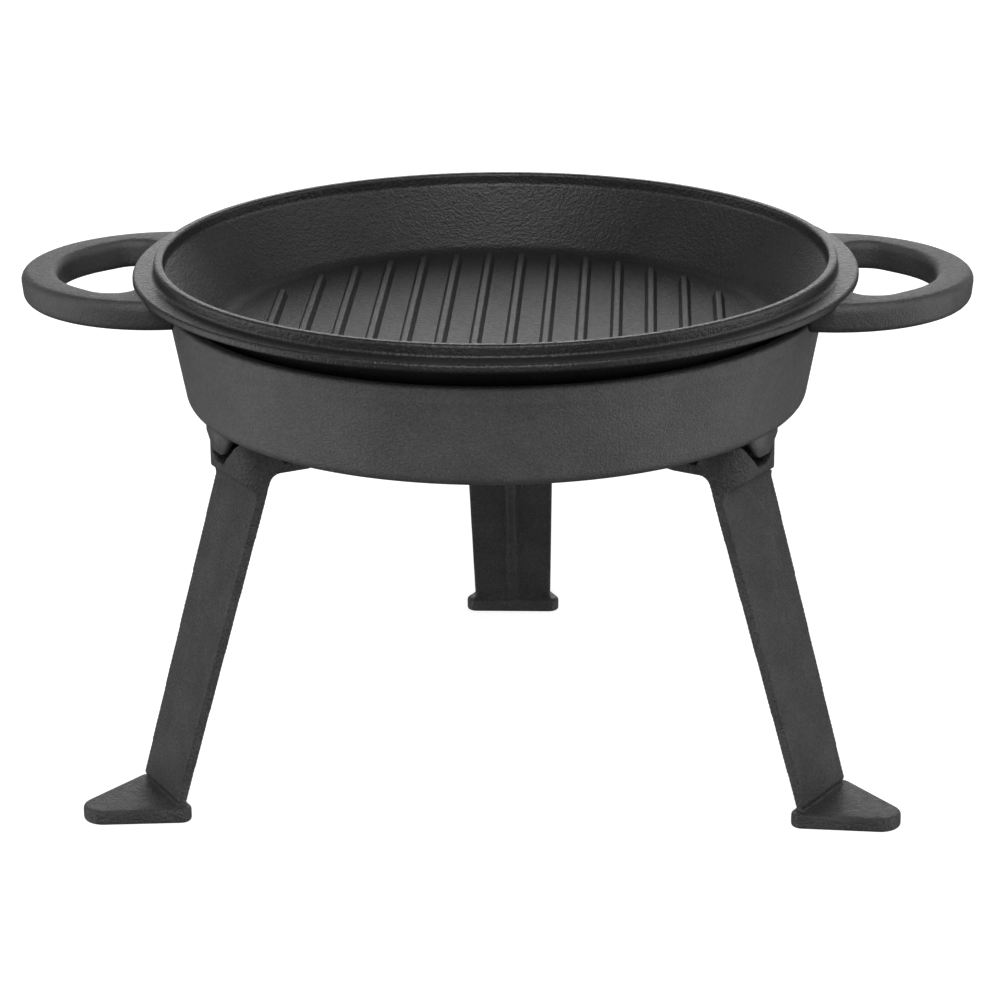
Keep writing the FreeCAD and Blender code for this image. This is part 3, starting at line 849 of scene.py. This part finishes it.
@dataclass
class GrillPan:
    """Turned dish with a lid ledge, a ribbed floor and two loop handles."""

    finish: bpy.types.Material
    # A lighter copy of the dish's finish, which paints light onto the handles. They are the same iron
    # as the dish.
    handle_painted_light_finish: bpy.types.Material
    rim_radius: float = 145.0 * MM
    rim_wall: float = 4.0 * MM
    rim_rise: float = 5.3 * MM
    rim_depth: float = 5.2 * MM
    ledge_radius: float = 154.0 * MM
    flange: float = 3.7 * MM
    flange_round: float = 2.0 * MM
    floor_radius: float = 117.0 * MM
    floor_depth: float = 31.0 * MM
    floor_thickness: float = 4.5 * MM
    wall: float = 4.6 * MM
    corner: float = 9.0 * MM
    edge_round: float = 1.4 * MM
    steps_round: int = 320
    rib_count: int = 14
    rib_width: float = 5.4 * MM
    rib_crest: float = 2.6 * MM
    rib_height: float = 3.0 * MM
    rib_sunk: float = 1.0 * MM
    rib_foot_round: float = 0.8 * MM
    rib_crest_round: float = 0.9 * MM
    rib_taper: float = 5.0 * MM
    rib_steps: int = 120
    moat: float = 14.0 * MM
    handle_center: float = 141.7 * MM
    handle_radius: float = 61.3 * MM
    handle_draft: float = 1.3 * MM
    handle_drop: float = 1.5 * MM
    handle_round: float = 3.8 * MM
    root_radius: float = 142.5 * MM
    finger_start: float = 149.5 * MM
    finger_shoulder: float = 164.0 * MM
    finger_tip: float = 186.4 * MM
    finger_half: float = 42.3 * MM
    finger_tip_half: float = 21.0 * MM
    finger_corner: float = 8.5 * MM
    finger_shoulder_round: float = 12.0 * MM
    finger_tip_round: float = 42.0 * MM
    loop_center: float = 166.0 * MM
    turning: Recipe = field(default_factory=turning_recipe)
    ribs: Recipe = field(default_factory=rib_recipe)

    def __post_init__(self) -> None:
        """Takes the levels from the CAD nodes."""
        self.rim_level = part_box("grill_pan")[1].z
        self.bowl_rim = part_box("bowl")[1].z
        self.ledge_level = self.rim_level - self.rim_rise
        self.floor_level = self.rim_level - self.floor_depth

    def section(self) -> list[Point]:
        """Section of the dish, from the axis under the floor to the axis above it."""
        inner_rim = self.rim_radius - self.rim_wall
        lip_foot = self.rim_level - self.rim_depth
        slope = (inner_rim - self.floor_radius) / (self.floor_depth - self.rim_depth)
        flange_base = self.ledge_level - self.flange
        under = self.floor_level - self.floor_thickness
        at_flange = inner_rim + self.wall - slope * (lip_foot - flange_base)
        corners = [
            (0.0, under, 0.0),
            (self.floor_radius + self.wall - slope * self.floor_thickness, under, self.corner),
            (at_flange, flange_base, self.flange_round),
            (self.ledge_radius, flange_base, self.edge_round),
            (self.ledge_radius, self.ledge_level, self.edge_round),
            (self.rim_radius, self.ledge_level, self.edge_round),
            (self.rim_radius, self.rim_level, self.edge_round),
            (inner_rim, self.rim_level, self.edge_round),
            (inner_rim, lip_foot, self.edge_round * 2.0),
            (self.floor_radius, self.floor_level, self.corner),
            (0.0, self.floor_level, 0.0),
        ]
        return rounded(corners)

    def dish(self) -> bpy.types.Mesh:
        """Turns the section into the dish's mesh."""
        path = self.ledge_radius
        points = [(x - path, y) for x, y in self.section()]
        mesh = self.turning.run(
            "pan_dish", line_mesh("pan_section", points),
            {"Steps": self.steps_round, "Radius": path, "Material": self.finish})
        outward(mesh)
        return mesh

    def rib_row(self) -> bpy.types.Mesh:
        """Lays the ribs on the floor."""
        half, crest, sunk = self.rib_width / 2.0, self.rib_crest / 2.0, self.rib_sunk
        foot_round, crest_round = self.rib_foot_round, self.rib_crest_round
        section = rounded([
            (-half, -sunk, 0.0), (half, -sunk, 0.0), (half, 0.0, foot_round),
            (crest, self.rib_height, crest_round), (-crest, self.rib_height, crest_round),
            (-half, 0.0, foot_round)], closed=True, steps=4)
        field_radius = self.floor_radius - self.moat
        mesh = self.ribs.run("pan_ribs", line_mesh("rib_section", section, closed=True), {
            "Count": self.rib_count, "Pitch": 2.0 * field_radius / self.rib_count,
            "Field Radius": field_radius, "Level": self.floor_level,
            "Taper": self.rib_taper, "Steps": self.rib_steps, "Material": self.finish})
        outward(mesh)
        return mesh

    def handle_outlines(self) -> tuple[list[Point], list[Point]]:
        """Outer outline of the right handle's loop, and its finger opening.

        Returns:
            Both outlines, closed, running the same way.
        """
        reach = self.handle_center
        meet_x = (self.root_radius**2 + reach**2 - self.handle_radius**2) / (2.0 * reach)
        meet_y = math.sqrt(self.root_radius**2 - meet_x**2)
        turn = math.atan2(meet_y, meet_x - reach)
        root = math.atan2(meet_y, meet_x)
        outer = [
            (reach + self.handle_radius * math.cos(a), self.handle_radius * math.sin(a))
            for a in np.linspace(-turn, turn, 120)]
        outer += [
            (self.root_radius * math.cos(a), self.root_radius * math.sin(a))
            for a in np.linspace(root, -root, 60)[1:-1]]
        opening = rounded([
            (self.finger_start, -self.finger_half, self.finger_corner),
            (self.finger_shoulder, -self.finger_half, self.finger_shoulder_round),
            (self.finger_tip, -self.finger_tip_half, self.finger_tip_round),
            (self.finger_tip, self.finger_tip_half, self.finger_tip_round),
            (self.finger_shoulder, self.finger_half, self.finger_shoulder_round),
            (self.finger_start, self.finger_half, self.finger_corner)], closed=True, steps=12)
        return outer, opening

    def handle(self, mirrored: bool) -> bmesh.types.BMesh:
        """One loop handle, with rounded edges and a drafted side.

        Args:
            mirrored: True for the left handle.

        Returns:
            The loop as a bmesh, which the caller frees.
        """
        center = Vector((self.loop_center, 0.0))
        outer, opening = self.handle_outlines()
        angles = np.linspace(-math.pi, math.pi, 220, endpoint=False)

        low, high = self.bowl_rim, self.ledge_level - self.handle_drop
        work = bmesh.new()
        rows = []
        for angle in angles:
            far, near = spoke_length(outer, center, angle), spoke_length(opening, center, angle)
            reach = min(self.handle_round, 0.45 * (far - near))
            loop = rounded([
                (near, low, reach), (far - self.handle_draft, low, reach),
                (far, high, reach), (near, high, reach)], closed=True, steps=6)
            spoke = (math.cos(angle), math.sin(angle))
            rows.append([
                work.verts.new((center.x + s * spoke[0], center.y + s * spoke[1], z))
                for s, z in loop])
        count, around = len(rows), len(rows[0])
        for index in range(count):
            here, after = rows[index], rows[(index + 1) % count]
            for step in range(around):
                up = (step + 1) % around
                work.faces.new((here[step], after[step], after[up], here[up]))
        if mirrored:
            bmesh.ops.rotate(
                work, verts=work.verts, cent=(0.0, 0.0, 0.0), matrix=Matrix.Rotation(math.pi, 3, "Z"))
        bmesh.ops.recalc_face_normals(work, faces=work.faces)
        return work

    def build(self) -> None:
        """Makes the pan's pieces and stands them for the CAD pan."""
        dish = place("pan_dish", self.dish(), Body.GRILL_PAN, Slot.PAN)
        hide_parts("grill_pan")
        place("pan_ribs", self.rib_row(), Body.GRILL_PAN, Slot.PAN)
        for name, mirrored in (("handle_right", False), ("handle_left", True)):
            mesh = as_mesh(name, self.handle(mirrored))
            # The handles take the lighter copy of the dish's iron, which paints light onto them.
            mesh.materials.append(self.handle_painted_light_finish)
            place(name, mesh, Body.GRILL_PAN, Slot.PAN)


@dataclass
class CastLegs:
    """Three equal legs, with the edges of the CAD casting melted soft as sand casting does."""

    finish: bpy.types.Material
    grain: float = 0.6 * MM
    passes: int = 5
    keep: float = 0.35
    weld: float = 0.005 * MM
    angles: dict[str, float] = field(
        default_factory=lambda: {"back": 0.0, "front_left": 120.0, "front_right": 240.0})

    def casting(self) -> bpy.types.Mesh:
        """Remeshes the back leg of the CAD model with soft edges."""
        work = bmesh.new()
        work.from_mesh(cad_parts["leg_back"].data)
        bmesh.ops.remove_doubles(work, verts=work.verts, dist=self.weld)
        mesh = as_mesh("leg_source", work)
        holder = bpy.data.objects.new("leg_holder", mesh)
        bpy.context.scene.collection.objects.link(holder)
        melt = holder.modifiers.new("melt", "REMESH")
        melt.mode = "VOXEL"
        melt.voxel_size = self.grain
        melt.use_smooth_shade = True
        relax = holder.modifiers.new("relax", "SMOOTH")
        relax.factor = 0.5
        relax.iterations = self.passes
        thin = holder.modifiers.new("thin", "DECIMATE")
        thin.ratio = self.keep
        graph = bpy.context.evaluated_depsgraph_get()
        made = bpy.data.meshes.new_from_object(holder.evaluated_get(graph), depsgraph=graph)
        bpy.data.objects.remove(holder)
        return made

    def build(self) -> None:
        """Makes the three legs and stands them for the CAD legs."""
        casting = self.casting()
        for where, angle in self.angles.items():
            mesh = casting.copy()
            mesh.name = "leg_iron_" + where
            mesh.transform(Matrix.Rotation(math.radians(angle), 4, "Z"))
            mesh.materials.clear()
            mesh.materials.append(self.finish)
            mesh.shade_smooth()
            piece = place("leg_iron_" + where, mesh, Body.FIRE_BOWL, Slot.LEG)
            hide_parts("leg_" + where)


@dataclass
class Fasteners:
    """Screws and washers of the legs, kept as the CAD nodes they are."""

    finish: bpy.types.Material
    kinds: tuple[str, ...] = ("screw", "washer", "spring_washer")
    places: tuple[str, ...] = ("front_left", "front_right", "back")

    def build(self) -> None:
        """Gives each fastener its finish."""
        for kind in self.kinds:
            for where in self.places:
                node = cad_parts[kind + "_" + where]
                node.data.materials.clear()
                node.data.materials.append(self.finish)
                log.info("%s keeps its CAD shape", node.name)


@dataclass(frozen=True)
class Glow:
    """A soft bright patch of the studio's walls.

    The azimuth is counted from the front towards the right, in degrees.
    """

    azimuth: float
    elevation: float
    strength: float

    def heading(self) -> Vector:
        """Unit vector from the set towards the patch."""
        around, above = math.radians(self.azimuth), math.radians(self.elevation)
        return Vector((
            math.sin(around) * math.cos(above), -math.cos(around) * math.cos(above),
            math.sin(above)))


@dataclass
class Studio:
    """Pale floor, soft lights, and the camera."""

    floor_half: float = 7.0
    lens: float = 126.2
    distance: float = 1.5268
    elevation: float = math.radians(18.706)
    azimuth: float = math.radians(2.486)
    roll: float = math.radians(-0.485)
    target_height: float = 110.6 * MM
    target_aside: float = 1.04 * MM
    ambient: float = 0.02
    wall: float = 2.0
    bounce: float = 2.0
    key: float = 3.0
    fill: float = 0.8
    wall_elevation: float = 12.0
    bounce_elevation: float = -25.0
    key_elevation: float = 45.0
    fill_elevation: float = -8.0
    glow_falloff: float = 12.0
    lamp_distance: float = 3.0
    key_watts: float = 24.0
    side_watts: float = 8.0
    key_size: float = 2.0
    side_size: float = 1.5
    aim_height: float = 0.15

    def glows(self) -> list[Glow]:
        """Soft light round the set: three equal walls, their bounce, a key and a fill.

        Returns:
            The bright patches, the same on the left and on the right.
        """
        front, right, back, left = 0.0, 90.0, 180.0, 270.0
        patches = [Glow(side, self.wall_elevation, self.wall) for side in (right, back, left)]
        patches += [Glow(side, self.bounce_elevation, self.bounce) for side in (right, left)]
        patches.append(Glow(front, self.key_elevation, self.key))
        patches.append(Glow(front, self.fill_elevation, self.fill))
        return patches

    def floor(self) -> None:
        """Lays the floor."""
        work = bmesh.new()
        bmesh.ops.create_grid(work, x_segments=4, y_segments=4, size=self.floor_half)
        mesh = as_mesh("floor", work)
        mesh.materials.append(StudioFloor().build())
        floor = bpy.data.objects.new("floor", mesh)
        floor.location = (0.0, 0.0, 0.0)
        floor.visible_diffuse = False
        floor.visible_glossy = False
        floor.visible_shadow = False
        bpy.context.scene.collection.objects.link(floor)

    def lamp(self, name: str, spot: Vector, aim: Vector, size: float, power: float) -> None:
        """Adds a square soft light.

        Args:
            name: The light's name.
            spot: Where it hangs.
            aim: What it points at.
            size: Side of the square.
            power: Watts.
        """
        light = bpy.data.lights.new(name, "AREA")
        light.shape = "SQUARE"
        light.size = size
        light.energy = power
        lamp = bpy.data.objects.new(name, light)
        lamp.location = spot
        lamp.rotation_euler = (aim - spot).to_track_quat("-Z", "Y").to_euler()
        bpy.context.scene.collection.objects.link(lamp)

    def camera(self) -> None:
        """Stands the camera a little above the pan, in front."""
        back = Vector((
            math.sin(self.azimuth) * math.cos(self.elevation),
            -math.cos(self.azimuth) * math.cos(self.elevation),
            math.sin(self.elevation)))
        right = (-back).cross(Vector((0.0, 0.0, 1.0))).normalized()
        up = right.cross(-back)
        target = Vector((0.0, 0.0, self.target_height)) + right * self.target_aside
        across = right * math.cos(self.roll) + up * math.sin(self.roll)
        upward = up * math.cos(self.roll) - right * math.sin(self.roll)
        data = bpy.data.cameras.new("camera")
        data.lens = self.lens
        data.sensor_width = 36.0
        camera = bpy.data.objects.new("camera", data)
        turn = Matrix((across, upward, back)).transposed().to_4x4()
        camera.matrix_world = Matrix.Translation(target + back * self.distance) @ turn
        bpy.context.scene.collection.objects.link(camera)
        bpy.context.scene.camera = camera

    def dome(self) -> None:
        """Surrounds the set with dim walls that carry the soft bright patches."""
        world = bpy.data.worlds.new("studio")
        world.use_nodes = True
        net = Net(world.node_tree)
        heading = net.add("ShaderNodeTexCoord").outputs["Generated"]
        level: bpy.types.NodeSocket | float = self.ambient
        for glow in self.glows():
            facing = net.add("ShaderNodeVectorMath", operation="DOT_PRODUCT")
            net.link(heading, facing.inputs[0])
            facing.inputs[1].default_value = glow.heading()
            near = net.maths("MAXIMUM", facing.outputs["Value"], 0.0)
            patch = net.maths("POWER", near, self.glow_falloff)
            level = net.maths("ADD", net.maths("MULTIPLY", patch, glow.strength), level)
        background = net.tree.nodes["Background"]
        background.inputs["Color"].default_value = (1.0, 1.0, 1.0, 1.0)
        net.link(level, background.inputs["Strength"])
        bpy.context.scene.world = world

    def build(self) -> None:
        """Sets the whole studio up."""
        self.floor()
        aim = Vector((0.0, 0.0, self.aim_height))
        key = Glow(0.0, self.key_elevation, self.key_watts)
        side = Glow(90.0, self.key_elevation, self.side_watts)
        self.lamp(
            "key_light", aim + key.heading() * self.lamp_distance, aim, self.key_size,
            key.strength)
        self.lamp(
            "side_light", aim + side.heading() * self.lamp_distance, aim, self.side_size,
            side.strength)
        self.dome()
        bpy.context.scene.view_settings.view_transform = "Standard"
        self.camera()
        log.info("studio ready")


def main() -> None:
    """Builds the fire bowl's pieces in order, then the studio."""
    logging.basicConfig(level=logging.INFO, format="%(name)s: %(message)s")
    bowl_iron = CastIron(
        name="bowl_iron", tint=(0.068, 0.068, 0.069), patch_tint=(0.086, 0.086, 0.087),
        roughness=0.50, roughness_spread=0.08, grain=0.9 * MM, grain_depth=0.55 * MM,
        pebble=3.0 * MM, pebble_depth=0.16 * MM, patch=26.0 * MM, speck_gain=0.35)
    leg_iron = CastIron(
        name="leg_iron", tint=(0.028, 0.028, 0.0285), patch_tint=(0.044, 0.044, 0.0445),
        roughness=0.42, roughness_spread=0.08, grain=1.1 * MM, grain_depth=1.2 * MM,
        pebble=3.2 * MM, pebble_depth=0.22 * MM, patch=16.0 * MM, speck_gain=0.5)
    pan_iron = CastIron(
        name="pan_iron", tint=(0.013, 0.013, 0.0133), patch_tint=(0.019, 0.019, 0.0193),
        roughness=0.34, roughness_spread=0.06, grain=0.9 * MM, grain_depth=0.20 * MM,
        pebble=1.8 * MM, pebble_depth=0.32 * MM, patch=30.0 * MM, specular=0.45)
    # Painted light: the handles are cast in one piece with the dish, and this lighter, glossier copy of
    # the dish's iron stands in for the light that falls on them.
    handle_iron_painted_light = CastIron(
        name="handle_iron_painted_light", tint=(0.040, 0.040, 0.0405), patch_tint=(0.054, 0.054, 0.0545),
        roughness=0.46, roughness_spread=0.06, grain=0.9 * MM, grain_depth=0.45 * MM,
        pebble=2.4 * MM, pebble_depth=0.2 * MM, patch=22.0 * MM, specular=0.58)
    steel = BlackenedSteel(name="blackened_steel")

    CastBowl(finish=bowl_iron.build()).build()
    GrillPan(finish=pan_iron.build(), handle_painted_light_finish=handle_iron_painted_light.build()).build()
    CastLegs(finish=leg_iron.build()).build()
    Fasteners(finish=steel.build()).build()
    Studio().build()


if __name__ == "__main__":
    main()
